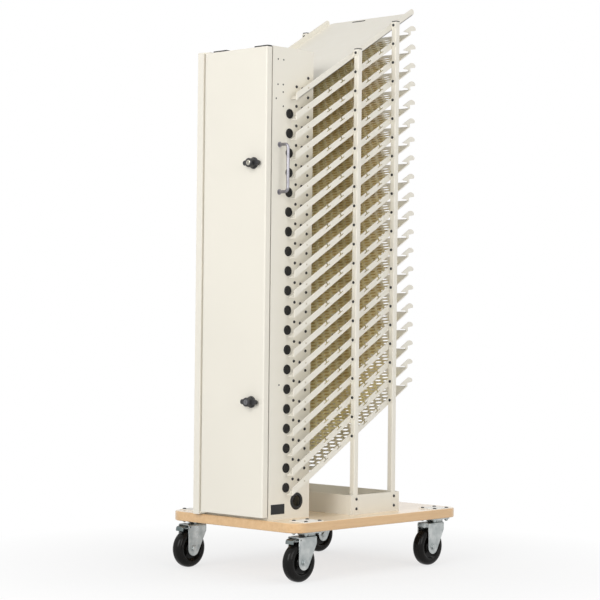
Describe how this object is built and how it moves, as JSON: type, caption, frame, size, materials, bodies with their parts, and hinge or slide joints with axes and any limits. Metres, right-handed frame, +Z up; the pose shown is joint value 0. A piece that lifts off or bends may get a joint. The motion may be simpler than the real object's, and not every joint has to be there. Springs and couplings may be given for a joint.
{
  "type": "device charging tower",
  "caption": "Wheeled tower with a slim lockable charging cabinet and a stack of sloping device shelves held by posts on a wooden base board.",
  "frame": {"origin": "on the floor, under the middle of the whole tower's box", "axes": "+Z up, the cabinet door faces -Y, +X is the side with the row of cable grommets"},
  "size_m": [0.46, 0.684, 1.5035],
  "materials": {
    "beech": "clear lacquer",
    "cream_steel": "powder coat, fine satin",
    "white_plate": "powder coat",
    "zinc": "bright zinc plating",
    "brake_steel": "zinc plating",
    "tread": "matt",
    "black_rubber": "matt",
    "black_plastic": "fine grain",
    "black_screw": "black zinc",
    "blank": "black anodised, bare",
    "chrome_wire": "bright plating",
    "nylon": "plain",
    "switch_red": "smooth"
  },
  "bodies": {
    "tower": {"base_board": "beech", "caster_plates": "zinc", "top_plates": "white_plate", "side_panel_right": "cream_steel", "side_panel_left": "cream_steel", "cabinet_top": "cream_steel", "cabinet_bottom": "cream_steel", "back_panels": "cream_steel", "hinge_stile": "cream_steel", "blank_plate": "blank", "cable_grommets": "black_rubber", "outlet_grommet": "black_rubber", "post_tray": "cream_steel", "post_front_right": "cream_steel", "post_front_left": "cream_steel", "post_rear_right": "cream_steel", "post_rear_left": "cream_steel", "post_caps": "black_plastic", "post_clips": "cream_steel", "bolts": "black_screw", "handles": "chrome_wire", "power_strip": "black_plastic", "top_cover": "cream_steel", "shelf_01": "cream_steel", "shelf_02": "cream_steel", "shelf_03": "cream_steel", "shelf_04": "cream_steel", "shelf_05": "cream_steel", "shelf_06": "cream_steel", "shelf_07": "cream_steel", "shelf_08": "cream_steel", "shelf_09": "cream_steel", "shelf_10": "cream_steel", "shelf_11": "cream_steel", "shelf_12": "cream_steel", "shelf_13": "cream_steel", "shelf_14": "cream_steel", "shelf_15": "cream_steel", "shelf_16": "cream_steel", "shelf_17": "cream_steel", "shelf_18": "cream_steel", "shelf_19": "cream_steel", "shelf_20": "cream_steel"},
    "door": {"door_panel": "cream_steel", "pivot_bushes": "nylon", "door_pads": "black_rubber", "lock_bodies": "black_plastic"},
    "upper_latch": {"latch_upper": "black_plastic"},
    "lower_latch": {"latch_lower": "black_plastic"},
    "switch": {"strip_switch": "switch_red"},
    "caster_front_right": {"fork_front_right": "zinc"},
    "roller_front_right": {"wheel_front_right": "tread"},
    "brake_lever_front_right": {"brake_front_right": "brake_steel"},
    "caster_front_left": {"fork_front_left": "zinc"},
    "roller_front_left": {"wheel_front_left": "tread"},
    "brake_lever_front_left": {"brake_front_left": "brake_steel"},
    "caster_rear_right": {"fork_rear_right": "zinc"},
    "roller_rear_right": {"wheel_rear_right": "tread"},
    "caster_rear_left": {"fork_rear_left": "zinc"},
    "roller_rear_left": {"wheel_rear_left": "tread"}
  },
  "joints": [
    {"name": "door_swing", "type": "hinge", "parent": "tower", "child": "door", "pos_m": [-0.093, -0.31, 0.75], "axis": [0, 0, -1], "range_deg": [0, 90]},
    {"name": "upper_latch_turn", "type": "hinge", "parent": "door", "child": "upper_latch", "pos_m": [0.083, -0.32, 1.05], "axis": [0, -1, 0], "range_deg": [0, 90]},
    {"name": "lower_latch_turn", "type": "hinge", "parent": "door", "child": "lower_latch", "pos_m": [0.083, -0.32, 0.447], "axis": [0, -1, 0], "range_deg": [0, 90]},
    {"name": "switch_rock", "type": "hinge", "parent": "tower", "child": "switch", "pos_m": [-0.0875, -0.266, 0.255], "axis": [0, -1, 0], "range_deg": [0, 14]},
    {"name": "swivel_front_right", "type": "hinge", "parent": "tower", "child": "caster_front_right", "pos_m": [0.1995, -0.236, 0.11], "axis": [0, 0, 1], "continuous": true},
    {"name": "roll_front_right", "type": "hinge", "parent": "caster_front_right", "child": "roller_front_right", "pos_m": [0.1995, -0.264, 0.05], "axis": [1, 0, 0], "continuous": true},
    {"name": "brake_press_front_right", "type": "hinge", "parent": "caster_front_right", "child": "brake_lever_front_right", "pos_m": [0.1995, -0.277, 0.1067], "axis": [1, 0, 0], "range_deg": [0, 12]},
    {"name": "swivel_front_left", "type": "hinge", "parent": "tower", "child": "caster_front_left", "pos_m": [-0.1995, -0.236, 0.11], "axis": [0, 0, 1], "continuous": true},
    {"name": "roll_front_left", "type": "hinge", "parent": "caster_front_left", "child": "roller_front_left", "pos_m": [-0.1995, -0.264, 0.05], "axis": [1, 0, 0], "continuous": true},
    {"name": "brake_press_front_left", "type": "hinge", "parent": "caster_front_left", "child": "brake_lever_front_left", "pos_m": [-0.1995, -0.277, 0.1067], "axis": [1, 0, 0], "range_deg": [0, 12]},
    {"name": "swivel_rear_right", "type": "hinge", "parent": "tower", "child": "caster_rear_right", "pos_m": [0.1995, 0.27, 0.11], "axis": [0, 0, 1], "continuous": true},
    {"name": "roll_rear_right", "type": "hinge", "parent": "caster_rear_right", "child": "roller_rear_right", "pos_m": [0.1995, 0.242, 0.05], "axis": [1, 0, 0], "continuous": true},
    {"name": "swivel_rear_left", "type": "hinge", "parent": "tower", "child": "caster_rear_left", "pos_m": [-0.1995, 0.27, 0.11], "axis": [0, 0, 1], "continuous": true},
    {"name": "roll_rear_left", "type": "hinge", "parent": "caster_rear_left", "child": "roller_rear_left", "pos_m": [-0.1995, 0.242, 0.05], "axis": [1, 0, 0], "continuous": true}
  ]
}
